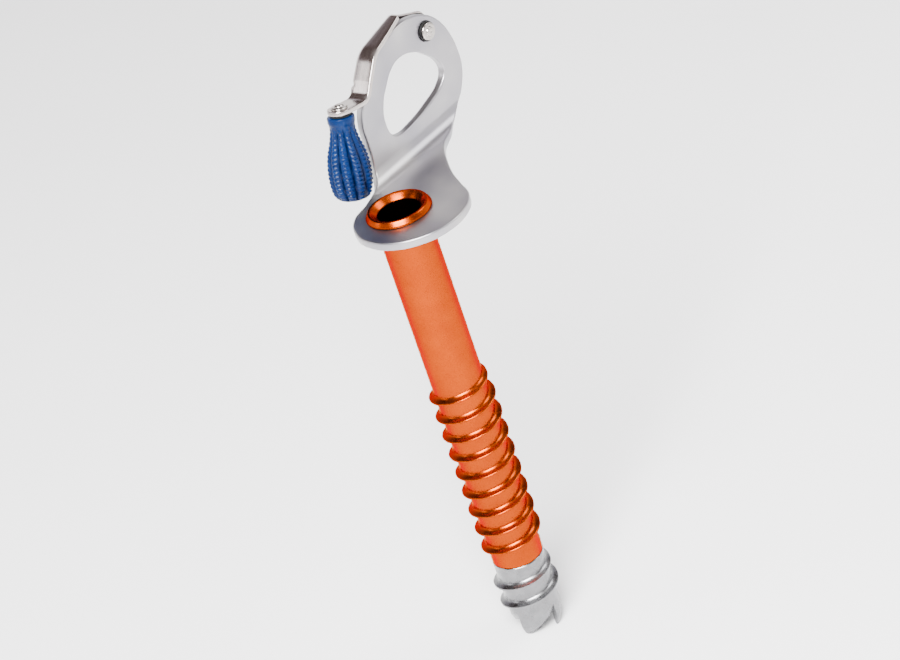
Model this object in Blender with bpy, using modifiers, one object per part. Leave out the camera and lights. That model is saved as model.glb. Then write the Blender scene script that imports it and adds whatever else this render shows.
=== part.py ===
"""Ice screw with a folding crank.

A threaded tube with a toothed bit hangs below a bent hanger plate. The upright half of the
plate has the carabiner eye and carries a crank, which folds flat against the plate's edge.
Frame: +Z runs up the tube's axis, and the origin is on that axis at the underside of the
hanger, the face that meets the ice. X runs along the hanger's fold.
"""

import math

import bmesh
import bpy
from mathutils import Matrix, Vector

MM = 0.001

# Hanger plate
PLATE_T = 3.0 * MM
EYE_FRONT_Y = 20.0 * MM
BEND_R = 5.5 * MM
BEND_STEPS = 10
EYE_BACK_Y = EYE_FRONT_Y + PLATE_T
LOBE_CENTRE = (1.8 * MM, -3.7 * MM)
LOBE_R = 20.0 * MM
NECK_HOLE_R = 9.5 * MM

# Screw tube and bit
TUBE_R = 9.2 * MM
BORE_R = 7.5 * MM
HEAD_TOP_Z = 5.3 * MM
HEAD_RIM_R = 10.5 * MM
HEAD_FOOT_R = 11.4 * MM
COLLAR_R = 11.2 * MM
JOINT_Z = -140.0 * MM
SPIGOT_L = 10.0 * MM
SPIGOT_R = 8.2 * MM
BIT_BORE_R = 7.2 * MM
TIP_Z = -170.0 * MM
TOOTH_H = 7.0 * MM
TOOTH_COUNT = 4

# Thread, one continuous right-hand helix shared by the tube and the bit
PITCH = 8.0 * MM
CREST_R = 11.3 * MM
CREST_HALF_WIDTH = 0.35 * MM
ROOT_HALF_WIDTH = 1.5 * MM
ROOT_DEPTH = 0.3 * MM
FADE_TURNS = 0.6
THREAD_TOP_Z = -62.0 * MM
THREAD_END_MARGIN = 2.0 * MM
THREAD_STEPS_PER_TURN = 16

# Crank, bent from sheet: a flange over the plate's edge and a web behind the plate
SHEET_T = 1.6 * MM
FLANGE_FRONT_Y = 16.0 * MM
FLANGE_BACK_Y = 25.8 * MM
PIVOT_X = 55.5 * MM
PIVOT_Z = 37.5 * MM
WEB_BACK_Y = 26.0 * MM
WEB_FRONT_Y = WEB_BACK_Y - SHEET_T
WEB_BOSS_R = 6.4 * MM
PIVOT_HOLE_R = 3.2 * MM
PIN_R = 2.0 * MM

# Knob and its axle, tilted a little from the tube's axis while the crank is folded
AXLE_X = 8.35 * MM
AXLE_Y = 21.0 * MM
AXLE_Z = 35.4 * MM
KNOB_TILT = math.radians(12.0)
END_R = 4.1 * MM
AXLE_R = 1.6 * MM
AXLE_HOLE_R = 1.9 * MM
KNOB_TOP = -2.5 * MM
KNOB_BOTTOM = -31.2 * MM
KNOB_BORE_R = 2.7 * MM
KNOB_SOCKET_R = 3.9 * MM
KNOB_SOCKET_TOP = -28.0 * MM
RIB_COUNT = 10
RIB_DEPTH = 0.9 * MM
RIB_START = -6.0 * MM
RIB_FADE = 4.0 * MM

GAP = 0.3 * MM
ROUND_STEPS = 24
CUTTER_REACH = 40.0 * MM


def mm(points):
    """Turn (x, y) pairs in millimetres into metres."""
    return [(x * MM, y * MM) for x, y in points]


# ---------------------------------------------------------------- scene helpers

def clear_scene():
    for obj in list(bpy.data.objects):
        bpy.data.objects.remove(obj, do_unlink=True)


def new_collection(name):
    collection = bpy.data.collections.new(name)
    bpy.context.scene.collection.children.link(collection)
    return collection


def make_material(name, colour, roughness, metallic):
    material = bpy.data.materials.new(name)
    material.use_nodes = True
    shader = material.node_tree.nodes["Principled BSDF"]
    shader.inputs["Base Color"].default_value = (*colour, 1.0)
    shader.inputs["Roughness"].default_value = roughness
    shader.inputs["Metallic"].default_value = metallic
    return material


def new_empty(name, collection, location, rotation=(0.0, 0.0, 0.0), parent=None):
    empty = bpy.data.objects.new(name, None)
    empty.location = location
    empty.rotation_euler = rotation
    empty.empty_display_size = 10.0 * MM
    empty.parent = parent
    collection.objects.link(empty)
    return empty


def new_object(name, mesh, collection, material=None, parent=None):
    obj = bpy.data.objects.new(name, mesh)
    collection.objects.link(obj)
    if material:
        mesh.materials.append(material)
    obj.parent = parent
    return obj


def as_cutter(obj):
    obj.hide_render = True
    obj.display_type = "WIRE"
    return obj


def add_boolean(obj, tool, operation):
    modifier = obj.modifiers.new(operation.title() + " " + tool.name, "BOOLEAN")
    modifier.operation = operation
    modifier.solver = "EXACT"
    modifier.object = tool


def shade_smooth(mesh, degrees=35.0):
    mesh.shade_smooth()
    mesh.set_sharp_from_angle(angle=math.radians(degrees))


# ---------------------------------------------------------------- shape helpers

def turned(name, profile, collection, material=None, parent=None, steps=32, closed=False):
    """A profile of (radius, height) pairs, top to bottom, turned about the local Z axis."""
    mesh = bpy.data.meshes.new(name)
    verts = [(radius, 0.0, height) for radius, height in profile]
    edges = [(i, i + 1) for i in range(len(verts) - 1)]
    if closed:
        edges.append((len(verts) - 1, 0))
    mesh.from_pydata(verts, edges, [])
    obj = new_object(name, mesh, collection, material, parent)
    screw = obj.modifiers.new("Turn", "SCREW")
    screw.axis = "Z"
    screw.steps = steps
    screw.render_steps = steps
    screw.use_merge_vertices = True
    screw.merge_threshold = 0.01 * MM
    screw.use_smooth_shade = True
    return obj


def ring(name, inner_r, outer_r, top, bottom, collection, material, parent=None, steps=ROUND_STEPS):
    """A plain turned ring, such as a washer or a bush."""
    profile = [(inner_r, top), (outer_r, top), (outer_r, bottom), (inner_r, bottom)]
    return turned(name, profile, collection, material, parent, steps, closed=True)


def add_smooth_spline(curve, points):
    """A closed spline that passes smoothly through its points."""
    spline = curve.splines.new("BEZIER")
    spline.bezier_points.add(len(points) - 1)
    for bezier_point, (x, y) in zip(spline.bezier_points, points):
        bezier_point.co = (x, y, 0.0)
        bezier_point.handle_left_type = "AUTO"
        bezier_point.handle_right_type = "AUTO"
    spline.use_cyclic_u = True


def add_polygon_spline(curve, points):
    spline = curve.splines.new("POLY")
    spline.points.add(len(points) - 1)
    for point, (x, y) in zip(spline.points, points):
        point.co = (x, y, 0.0, 1.0)
    spline.use_cyclic_u = True


def circle_points(centre, radius, count, start=0.0, sweep=360.0):
    """Points on an arc, by angle in degrees; a full circle doesn't repeat its first point."""
    spans = count if abs(sweep) == 360.0 else count - 1
    angles = [math.radians(start + sweep * i / spans) for i in range(count)]
    return [(centre[0] + radius * math.cos(a), centre[1] + radius * math.sin(a)) for a in angles]


def plate_mesh(name, thickness, smooth_outlines=(), polygon_outlines=(), resolution=4):
    """A filled flat outline of the given thickness, centred on its plane, as a closed mesh."""
    curve = bpy.data.curves.new(name, "CURVE")
    curve.dimensions = "2D"
    curve.fill_mode = "BOTH"
    curve.extrude = thickness / 2.0
    curve.resolution_u = resolution
    for points in smooth_outlines:
        add_smooth_spline(curve, points)
    for points in polygon_outlines:
        add_polygon_spline(curve, points)
    blank = bpy.data.objects.new(name, curve)
    bpy.context.scene.collection.objects.link(blank)
    depsgraph = bpy.context.evaluated_depsgraph_get()
    mesh = bpy.data.meshes.new_from_object(blank.evaluated_get(depsgraph))
    mesh.name = name
    bpy.data.objects.remove(blank, do_unlink=True)
    bm = bmesh.new()
    bm.from_mesh(mesh)
    bmesh.ops.remove_doubles(bm, verts=bm.verts, dist=0.001 * MM)
    bmesh.ops.recalc_face_normals(bm, faces=bm.faces)
    bm.to_mesh(mesh)
    bm.free()
    return mesh


def upright(mesh, middle_y):
    """Stand a flat plate up: its outline's Y becomes Z, and its middle plane is at middle_y."""
    mesh.transform(Matrix.Translation((0.0, middle_y, 0.0)) @ Matrix.Rotation(math.pi / 2, 4, "X"))


def rounded_path(corners, radii, steps):
    """Points of a bent line whose inner corners are arcs, each with its left-hand normal."""
    corners = [Vector(corner) for corner in corners]
    path = []
    for i, corner in enumerate(corners):
        before = (corner - corners[max(i - 1, 0)]).normalized()
        after = (corners[min(i + 1, len(corners) - 1)] - corner).normalized()
        if i in (0, len(corners) - 1):
            along = after if i == 0 else before
            path.append((corner, Vector((-along.y, along.x))))
            continue
        turn = math.atan2(before.x * after.y - before.y * after.x, before.dot(after))
        side = math.copysign(1.0, turn)
        radius = radii[i - 1]
        normal = Vector((-before.y, before.x))
        start = corner - before * radius * math.tan(abs(turn) / 2.0)
        centre = start + normal * radius * side
        for step in range(steps + 1):
            turned_normal = normal.copy()
            turned_normal.rotate(Matrix.Rotation(turn * step / steps, 2))
            path.append((centre - turned_normal * radius * side, turned_normal))
    return path


# ---------------------------------------------------------------- hanger

BEND_LENGTH = math.pi / 2 * (BEND_R + PLATE_T / 2)


def base(x, y):
    """A point of the horizontal plate, given in millimetres, in the flat blank."""
    return (x * MM, y * MM - (EYE_FRONT_Y - BEND_R))


def eye(x, z):
    """A point of the upright plate, given in millimetres, in the flat blank."""
    return (x * MM, z * MM - (PLATE_T + BEND_R) + BEND_LENGTH)


def hanger_outline():
    lobe = circle_points(LOBE_CENTRE, LOBE_R, 10, start=-20.0, sweep=-250.0)
    lobe = [base(x / MM, y / MM) for x, y in lobe]
    left_edge = [eye(12.2, 4.4), eye(14.0, 10.0), eye(14.5, 16.5), eye(15.1, 24.5),
                 eye(17.2, 29.6), eye(21.0, 33.4), eye(26.4, 39.3), eye(31.5, 43.0)]
    crown = [eye(38.0, 45.1), eye(45.0, 46.1), eye(51.3, 45.4), eye(57.2, 42.9),
             eye(61.3, 39.4), eye(64.2, 35.2), eye(66.2, 30.0), eye(67.2, 24.0)]
    right_edge = [eye(66.9, 17.5), eye(64.2, 11.4), eye(60.4, 7.2), base(50.0, 17.0),
                  base(41.6, 13.3), base(36.4, 9.2), base(32.0, 4.6), base(25.4, -3.2)]
    return lobe + left_edge + crown + right_edge


def eye_hole_outline():
    """The carabiner eye, a triangle with three round corners."""
    left_side = [eye(25.2, 18.5), eye(26.7, 25.3), eye(31.2, 31.0), eye(35.6, 34.6)]
    top_side = [eye(40.4, 35.8), eye(47.0, 34.1), eye(53.0, 29.6)]
    right_corner = [eye(57.0, 24.6), eye(57.8, 20.6), eye(55.2, 17.2)]
    lower_side = [eye(47.5, 14.3), eye(37.0, 12.3), eye(29.8, 12.3), eye(26.4, 14.3)]
    return left_side + top_side + right_corner + lower_side


def bent(point):
    """Where a point of the flat blank goes when the plate is folded."""
    x, s, h = point
    height = h + PLATE_T / 2
    centre_y = EYE_FRONT_Y - BEND_R
    centre_z = PLATE_T + BEND_R
    if s <= 0.0:
        return Vector((x, centre_y + s, height))
    if s >= BEND_LENGTH:
        return Vector((x, EYE_BACK_Y - height, centre_z + s - BEND_LENGTH))
    angle = s / BEND_LENGTH * math.pi / 2
    radius = BEND_R + PLATE_T - height
    return Vector((x, centre_y + radius * math.sin(angle), centre_z - radius * math.cos(angle)))


def make_hanger(collection, material):
    neck_hole = [base(x / MM, y / MM) for x, y in circle_points((0.0, 0.0), NECK_HOLE_R, 8)]
    pivot_centre = eye(PIVOT_X / MM, PIVOT_Z / MM)
    pivot_hole = circle_points(pivot_centre, PIVOT_HOLE_R, 6)
    outlines = [hanger_outline(), eye_hole_outline(), neck_hole, pivot_hole]
    mesh = plate_mesh("hanger", PLATE_T, smooth_outlines=outlines)
    bm = bmesh.new()
    bm.from_mesh(mesh)
    for step in range(BEND_STEPS + 1):
        line = Vector((0.0, BEND_LENGTH * step / BEND_STEPS, 0.0))
        everything = bm.verts[:] + bm.edges[:] + bm.faces[:]
        bmesh.ops.bisect_plane(bm, geom=everything, dist=0.001 * MM, plane_co=line,
                               plane_no=(0.0, 1.0, 0.0))
    for vert in bm.verts:
        vert.co = bent(vert.co)
    bmesh.ops.recalc_face_normals(bm, faces=bm.faces)
    bm.to_mesh(mesh)
    bm.free()
    shade_smooth(mesh)
    return new_object("hanger", mesh, collection, material)


# ---------------------------------------------------------------- screw

def make_thread(name, top_z, bottom_z, collection):
    """A helical ridge rooted in the tube's wall, fading out at both ends."""
    root_r = TUBE_R - ROOT_DEPTH
    faded_crest_r = root_r + 0.1 * MM
    fade_length = FADE_TURNS * PITCH
    step_z = PITCH / THREAD_STEPS_PER_TURN
    count = int((top_z - bottom_z) / step_z)
    bm = bmesh.new()
    sections = []
    for i in range(count + 1):
        z = top_z - i * step_z
        angle = 2.0 * math.pi * z / PITCH
        fade = min(1.0, (top_z - z) / fade_length, (z - bottom_z) / fade_length)
        crest_r = faded_crest_r + (CREST_R - faded_crest_r) * max(fade, 0.0)
        corners = [(root_r, ROOT_HALF_WIDTH), (crest_r, CREST_HALF_WIDTH),
                   (crest_r, -CREST_HALF_WIDTH), (root_r, -ROOT_HALF_WIDTH)]
        sections.append([bm.verts.new((r * math.cos(angle), r * math.sin(angle), z + dz))
                         for r, dz in corners])
    for upper, lower in zip(sections, sections[1:]):
        for i in range(4):
            j = (i + 1) % 4
            bm.faces.new((upper[i], upper[j], lower[j], lower[i]))
    bm.faces.new(sections[0])
    bm.faces.new(sections[-1][::-1])
    bmesh.ops.recalc_face_normals(bm, faces=bm.faces)
    mesh = bpy.data.meshes.new(name)
    bm.to_mesh(mesh)
    bm.free()
    return as_cutter(new_object(name, mesh, collection))


def make_screw_tube(parts, cutters, material):
    bevel_foot = (BORE_R, HEAD_TOP_Z - 1.9 * MM)
    bevel_top = (BORE_R + 1.8 * MM, HEAD_TOP_Z - 0.2 * MM)
    head = [bevel_foot, bevel_top, (BORE_R + 2.1 * MM, HEAD_TOP_Z),
            (HEAD_RIM_R - 0.2 * MM, HEAD_TOP_Z), (HEAD_RIM_R, HEAD_TOP_Z - 0.2 * MM),
            (HEAD_FOOT_R, PLATE_T + 0.7 * MM), (HEAD_FOOT_R, PLATE_T + GAP)]
    neck = [(TUBE_R, PLATE_T + GAP), (TUBE_R, -GAP)]
    collar = [(COLLAR_R, -GAP), (COLLAR_R, -1.5 * MM), (TUBE_R, -3.5 * MM)]
    foot = [(TUBE_R, JOINT_Z + GAP), (SPIGOT_R + GAP, JOINT_Z + GAP),
            (SPIGOT_R + GAP, JOINT_Z + SPIGOT_L + GAP), (BORE_R, JOINT_Z + SPIGOT_L + GAP)]
    tube = turned("screw_tube", head + neck + collar + foot, parts, material, closed=True)
    thread = make_thread("tube_thread", THREAD_TOP_Z, JOINT_Z + THREAD_END_MARGIN, cutters)
    add_boolean(tube, thread, "UNION")
    return tube


def make_tooth_gullets(collection):
    """One wedge in each quadrant: an upright cutting face, then a slope to the next tip."""
    root_z = TIP_Z + TOOTH_H
    reach = 14.0 * MM
    tip_flat = 0.4 * MM
    slope = TOOTH_H / (0.9 * TUBE_R)
    bm = bmesh.new()
    for k in range(TOOTH_COUNT):
        turn = Matrix.Rotation(2.0 * math.pi * k / TOOTH_COUNT, 3, "Z")
        section = [(0.0, root_z), (reach, root_z - slope * reach), (0.0, root_z - slope * reach)]
        near = [bm.verts.new(turn @ Vector((t, tip_flat, z))) for t, z in section]
        far = [bm.verts.new(turn @ Vector((t, reach, z))) for t, z in section]
        bm.faces.new(near)
        bm.faces.new(far[::-1])
        for i in range(3):
            j = (i + 1) % 3
            bm.faces.new((near[j], near[i], far[i], far[j]))
    bmesh.ops.recalc_face_normals(bm, faces=bm.faces)
    mesh = bpy.data.meshes.new("tooth_gullets")
    bm.to_mesh(mesh)
    bm.free()
    return as_cutter(new_object("tooth_gullets", mesh, collection))


def make_drill_bit(parts, cutters, material):
    profile = [(BIT_BORE_R, JOINT_Z + SPIGOT_L), (SPIGOT_R, JOINT_Z + SPIGOT_L),
               (SPIGOT_R, JOINT_Z), (TUBE_R, JOINT_Z), (TUBE_R, TIP_Z), (BIT_BORE_R, TIP_Z)]
    bit = turned("drill_bit", profile, parts, material, closed=True)
    top_z = JOINT_Z - THREAD_END_MARGIN
    thread = make_thread("bit_thread", top_z, TIP_Z + TOOTH_H + THREAD_END_MARGIN, cutters)
    add_boolean(bit, thread, "UNION")
    add_boolean(bit, make_tooth_gullets(cutters), "DIFFERENCE")
    return bit


# ---------------------------------------------------------------- crank

def crank_side_path():
    """The crank's outer line seen along the pivot, from beside the pivot to past the knob."""
    end = (AXLE_X - 1.6 * END_R * math.cos(KNOB_TILT), AXLE_Z + 1.6 * END_R * math.sin(KNOB_TILT))
    corners = mm([(47.0, 49.1), (27.8, 45.35), (17.9, 33.5)]) + [end]
    return rounded_path(corners, [10.0 * MM, 4.0 * MM], steps=5)


def crank_plan_outline():
    """The crank's flange seen from above: a round end under the knob's rivet, then a taper."""
    round_end = circle_points((AXLE_X, AXLE_Y), END_R, 9, start=90.0, sweep=180.0)
    front_edge = mm([(20.0, 16.9), (35.0, 18.2), (45.9, 20.6)])
    back_edge = mm([(46.3, 27.0), (13.0, 27.0), (10.5, 25.1)])
    return round_end + front_edge + back_edge


def crank_web_outline(side_path):
    """The flat side of the crank; its upper edge runs inside the flange's thickness."""
    inset = 0.25 * SHEET_T
    bends = side_path[1:9]
    boss = circle_points((PIVOT_X, PIVOT_Z), WEB_BOSS_R, 15, start=-140.0, sweep=240.0)
    corner = mm([(47.2, 48.4)])
    upper_edge = [tuple(point + normal * inset) for point, normal in bends]
    lower_edge = mm([(20.6, 35.0), (25.0, 35.5), (30.6, 36.9), (41.5, 37.4)])
    return boss + corner + upper_edge + lower_edge


def make_drill(name, radius, cutters, parent):
    half = 3.0 * SHEET_T
    profile = [(0.0, half), (radius, half), (radius, -half), (0.0, -half)]
    return as_cutter(turned(name, profile, cutters, parent=parent, steps=ROUND_STEPS))


def make_crank_arm(parts, cutters, pivot, material):
    side_path = crank_side_path()
    outer = [tuple(point) for point, normal in side_path]
    inner = [tuple(point + normal * SHEET_T) for point, normal in side_path]
    width = FLANGE_BACK_Y - FLANGE_FRONT_Y
    flange = plate_mesh("crank_arm", width, polygon_outlines=[outer + inner[::-1]])
    upright(flange, (FLANGE_FRONT_Y + FLANGE_BACK_Y) / 2.0)
    plan = plate_mesh("crank_plan", CUTTER_REACH, polygon_outlines=[crank_plan_outline()])
    plan.transform(Matrix.Translation((0.0, 0.0, AXLE_Z)))
    web = plate_mesh("crank_web", SHEET_T, polygon_outlines=[crank_web_outline(side_path)])
    upright(web, (WEB_FRONT_Y + WEB_BACK_Y) / 2.0)
    for mesh in (flange, plan, web):
        mesh.transform(Matrix.Translation(-pivot.location))
    arm = new_object("crank_arm", flange, parts, material, pivot)
    add_boolean(arm, as_cutter(new_object("crank_plan", plan, cutters, parent=pivot)), "INTERSECT")
    add_boolean(arm, as_cutter(new_object("crank_web", web, cutters, parent=pivot)), "UNION")
    pivot_drill = make_drill("pivot_drill", PIVOT_HOLE_R, cutters, pivot)
    pivot_drill.location.y = WEB_BACK_Y
    pivot_drill.rotation_euler.x = math.pi / 2
    add_boolean(arm, pivot_drill, "DIFFERENCE")
    axle_drill = make_drill("axle_drill", AXLE_HOLE_R, cutters, pivot)
    axle_drill.location = Vector((AXLE_X, AXLE_Y, AXLE_Z)) - pivot.location
    axle_drill.rotation_euler.y = KNOB_TILT
    add_boolean(arm, axle_drill, "DIFFERENCE")
    return arm


def pivot_profile(points):
    """Turn (radius, Y) pairs in millimetres, front to back, into a top-to-bottom profile."""
    return [(radius * MM, -y * MM) for radius, y in points]


def make_pivot_stack(parts, axis, steel, black):
    """The rivet that the crank folds on, with its bush and washers, all held by the hanger."""
    rivet = pivot_profile([(0.0, 17.85), (0.5, 17.65), (1.2, 17.6), (1.7, 17.9), (1.75, 18.1),
                           (2.8, 18.2), (3.1, 18.45), (3.1, 19.1), (PIN_R / MM, 19.1),
                           (PIN_R / MM, 26.2), (3.6, 26.2), (3.6, 26.8), (2.6, 27.3),
                           (0.0, 27.5)])
    turned("pivot_rivet", rivet, parts, steel, axis, steps=ROUND_STEPS)
    hole_side = pivot_profile([(2.2, 19.3), (3.5, 19.3), (3.5, 19.8), (2.2, 19.8)])
    turned("pivot_front_washer", hole_side, parts, black, axis, steps=ROUND_STEPS, closed=True)
    bush = pivot_profile([(2.2, 20.0), (3.0, 20.0), (3.0, 26.0), (2.2, 26.0)])
    turned("pivot_bush", bush, parts, black, axis, steps=ROUND_STEPS, closed=True)
    thrust = pivot_profile([(3.2, 23.2), (5.8, 23.2), (5.8, 23.6), (3.2, 23.6)])
    turned("pivot_thrust_washer", thrust, parts, black, axis, steps=ROUND_STEPS, closed=True)
    cone = pivot_profile([(3.3, 23.75), (5.6, 23.9), (5.6, 24.2), (3.3, 24.05)])
    turned("pivot_spring_washer", cone, parts, steel, axis, steps=ROUND_STEPS, closed=True)


# ---------------------------------------------------------------- knob

def knob_outside():
    """The knob's outer line, as (radius, height below the crank's end), top to bottom."""
    return mm([(4.35, -2.5), (4.65, -3.1), (4.6, -4.4), (4.3, -5.3), (4.35, -7.0), (4.85, -9.5),
               (5.7, -12.5), (6.8, -16.0), (7.45, -20.0), (7.6, -24.0), (7.2, -27.5),
               (6.4, -30.0), (5.3, -31.0)])


def make_knob_grip(parts, axis, material):
    """A turned grip whose lower part is drawn in between lengthwise ribs."""
    socket = [(KNOB_SOCKET_R, KNOB_BOTTOM), (KNOB_SOCKET_R, KNOB_SOCKET_TOP),
              (KNOB_BORE_R, KNOB_SOCKET_TOP)]
    profile = [(KNOB_BORE_R, KNOB_TOP)] + knob_outside() + socket
    smallest_ribbed_r = KNOB_SOCKET_R + 0.3 * MM
    columns = RIB_COUNT * 4
    bm = bmesh.new()
    loops = []
    for column in range(columns):
        angle = 2.0 * math.pi * column / columns
        rib = 0.5 - 0.5 * math.cos(RIB_COUNT * angle)
        loop = []
        for radius, z in profile:
            fade = min(1.0, max(0.0, (RIB_START - z) / RIB_FADE))
            outside = radius > smallest_ribbed_r
            r = radius - RIB_DEPTH * rib * fade * outside
            loop.append(bm.verts.new((r * math.cos(angle), r * math.sin(angle), z)))
        loops.append(loop)
    for column in range(columns):
        here = loops[column]
        there = loops[(column + 1) % columns]
        for i in range(len(profile)):
            j = (i + 1) % len(profile)
            bm.faces.new((here[i], here[j], there[j], there[i]))
    bmesh.ops.recalc_face_normals(bm, faces=bm.faces)
    mesh = bpy.data.meshes.new("knob_grip")
    bm.to_mesh(mesh)
    bm.free()
    shade_smooth(mesh)
    return new_object("knob_grip", mesh, parts, material, axis)


def make_axle(parts, axis, steel, black):
    """The knob's axle, riveted to the crank's end and peened over a washer inside the knob."""
    head = [(0.0, 1.85), (0.4, 1.9), (1.1, 1.85), (1.6, 1.45), (1.65, 1.1), (2.6, 1.0),
            (2.85, 0.75), (2.85, 0.25), (AXLE_R / MM, 0.25)]
    tail = [(AXLE_R / MM, -29.6), (2.4, -29.6), (2.4, -30.2), (1.6, -30.6), (0.0, -30.7)]
    turned("knob_axle", mm(head + tail), parts, steel, axis, steps=ROUND_STEPS)
    ring("knob_top_washer", 1.9 * MM, 3.7 * MM, -1.8 * MM, -2.3 * MM, parts, black, axis)
    ring("knob_end_washer", 1.9 * MM, 3.6 * MM, -28.6 * MM, -29.3 * MM, parts, steel, axis)
    ring("knob_bush", 1.8 * MM, 2.4 * MM, -2.6 * MM, -28.3 * MM, parts, steel, axis)


# ---------------------------------------------------------------- assembly

def build():
    clear_scene()
    parts = new_collection("ice_screw")
    cutters = new_collection("ice_screw_cutters")

    aluminium = make_material("hanger_aluminium", (0.70, 0.71, 0.74), 0.30, 1.0)
    orange = make_material("orange_anodised", (0.80, 0.20, 0.03), 0.28, 0.9)
    bit_steel = make_material("bit_steel", (0.55, 0.56, 0.58), 0.30, 1.0)
    stainless = make_material("stainless", (0.62, 0.59, 0.56), 0.22, 1.0)
    black = make_material("black_polymer", (0.02, 0.02, 0.022), 0.50, 0.0)
    blue = make_material("blue_plastic", (0.01, 0.16, 0.60), 0.35, 0.0)

    make_hanger(parts, aluminium)
    make_screw_tube(parts, cutters, orange)
    make_drill_bit(parts, cutters, bit_steel)

    quarter = math.pi / 2
    rivet_axis = new_empty("rivet_axis", parts, (PIVOT_X, 0.0, PIVOT_Z), (quarter, 0.0, 0.0))
    make_pivot_stack(parts, rivet_axis, stainless, black)

    crank_pivot = new_empty("crank_pivot", parts, (PIVOT_X, 0.0, PIVOT_Z))
    make_crank_arm(parts, cutters, crank_pivot, stainless)
    axle_offset = Vector((AXLE_X, AXLE_Y, AXLE_Z)) - crank_pivot.location
    knob_axis = new_empty("knob_axis", parts, axle_offset, (0.0, KNOB_TILT, 0.0), crank_pivot)
    make_axle(parts, knob_axis, stainless, black)
    make_knob_grip(parts, knob_axis, blue)


build()
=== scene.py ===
"""Looks of the ice screw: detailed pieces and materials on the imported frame, with studio and camera.

All shapes are in millimetres in the row frame until they are turned into meshes.
"""

import math

import bmesh
import bpy
from mathutils import Matrix, Vector


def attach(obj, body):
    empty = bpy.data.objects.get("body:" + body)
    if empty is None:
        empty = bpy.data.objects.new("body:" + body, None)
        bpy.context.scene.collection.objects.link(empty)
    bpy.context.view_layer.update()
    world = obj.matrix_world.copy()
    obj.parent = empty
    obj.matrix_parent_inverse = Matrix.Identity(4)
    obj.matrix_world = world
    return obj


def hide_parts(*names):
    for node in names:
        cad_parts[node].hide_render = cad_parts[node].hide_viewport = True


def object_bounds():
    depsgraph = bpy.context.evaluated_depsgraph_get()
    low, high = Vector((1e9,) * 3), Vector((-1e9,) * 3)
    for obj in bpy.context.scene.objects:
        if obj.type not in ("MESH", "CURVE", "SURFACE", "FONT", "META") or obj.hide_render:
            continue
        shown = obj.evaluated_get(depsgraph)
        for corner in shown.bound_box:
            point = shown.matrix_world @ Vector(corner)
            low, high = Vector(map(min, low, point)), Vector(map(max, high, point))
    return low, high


MM = 0.001

# Hanger plate
PLATE_T = 3.0
EYE_FRONT_Y = 20.0
EYE_BACK_Y = EYE_FRONT_Y + PLATE_T
FOLD_R = 5.5
FOLD_LENGTH = math.pi / 2 * (FOLD_R + PLATE_T / 2)
FOLD_STEPS = 24
PLATE_EDGE_R = 0.55

# Screw tube, whose head and collar clamp the plate, and the bit, whose spigot is in the tube's socket
TUBE_R = 9.2
BORE_R = 7.5
HEAD_R = 11.4
HEAD_TOP_Z = 5.3
HEAD_UNDER_Z = 3.25
COLLAR_R = 11.2
COLLAR_TOP_Z = -0.3
JOINT_Z = -140.0
SOCKET_R = 8.5
SOCKET_TOP_Z = -129.7
SPIGOT_R = 8.2
SPIGOT_TOP_Z = -130.0
BIT_BORE_R = 7.2
TIP_Z = -170.0
TOOTH_H = 7.0
TOOTH_COUNT = 4

# Thread
PITCH = 8.0
CREST_R = 11.3
THREAD_STEPS = 64

# Crank, whose sheet has a fold between the flange and the web
SHEET_T = 1.6
WEB_BACK_Y = 26.0
WEB_FRONT_Y = WEB_BACK_Y - SHEET_T
SHEET_FOLD_R = 2.4
SHEET_EDGE_R = 0.32
FOLD_Y = WEB_BACK_Y - SHEET_FOLD_R
PIVOT = (55.5, 37.5)
HOLE_R = 3.2
BOSS_R = 6.5

# Crank's knob end: the fold starts to run out at one X and is gone at the next
CREASE_X = 21.6
FLAT_X = 18.9
TAIL_LENGTH = 1.6
NECK_BACK_Y = 24.9
AXLE = (8.35, 21.0, 35.4)
KNOB_TILT = math.radians(12.0)
END_R = 4.1

# Knob
KNOB_LENGTH = 31.0
KNOB_WIDEST_Z = -24.0
RIB_COUNT = 10
RIB_DEPTH = 1.6
RIB_TWIST = math.radians(14.0)
TOOTH_PITCH = 1.5
TOOTH_DEPTH = 0.55
FULL_RIB_R = 7.6


# ---------------------------------------------------------------- mesh helpers

def finish_mesh(name, verts, faces, sharp_degrees, caps=()):
    """A mesh in metres from points in millimetres, with merged doubles and faces turned out.

    A cap is a flat face with holes, given as its loops of point numbers.
    """
    mesh = bpy.data.meshes.new(name)
    mesh.from_pydata([Vector(v) * MM for v in verts], [], faces)
    bm = bmesh.new()
    bm.from_mesh(mesh)
    bm.verts.ensure_lookup_table()
    for cap in caps:
        pairs = [(loop[i - 1], loop[i]) for loop in cap for i in range(len(loop))]
        edges = [bm.edges.get((bm.verts[i], bm.verts[j])) for i, j in pairs]
        bmesh.ops.triangle_fill(bm, edges=edges, use_beauty=True, use_dissolve=False)
    clean(bm)
    bm.to_mesh(mesh)
    bm.free()
    smooth(mesh, sharp_degrees)
    return mesh


def clean(bm):
    bmesh.ops.remove_doubles(bm, verts=bm.verts, dist=0.002 * MM)
    bmesh.ops.dissolve_degenerate(bm, edges=bm.edges, dist=0.001 * MM)
    bmesh.ops.recalc_face_normals(bm, faces=bm.faces)


def smooth(mesh, sharp_degrees):
    mesh.shade_smooth()
    mesh.set_sharp_from_angle(angle=math.radians(sharp_degrees))


def loft(rings, around=False):
    """Quads between rings of points; every ring is closed, and around also joins last to first."""
    count = len(rings[0])
    verts = [point for ring in rings for point in ring]
    faces = []
    spans = len(rings) if around else len(rings) - 1
    for r in range(spans):
        here = r * count
        there = (r + 1) % len(rings) * count
        for i in range(count):
            j = (i + 1) % count
            faces.append((here + i, here + j, there + j, there + i))
    return verts, faces


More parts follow.
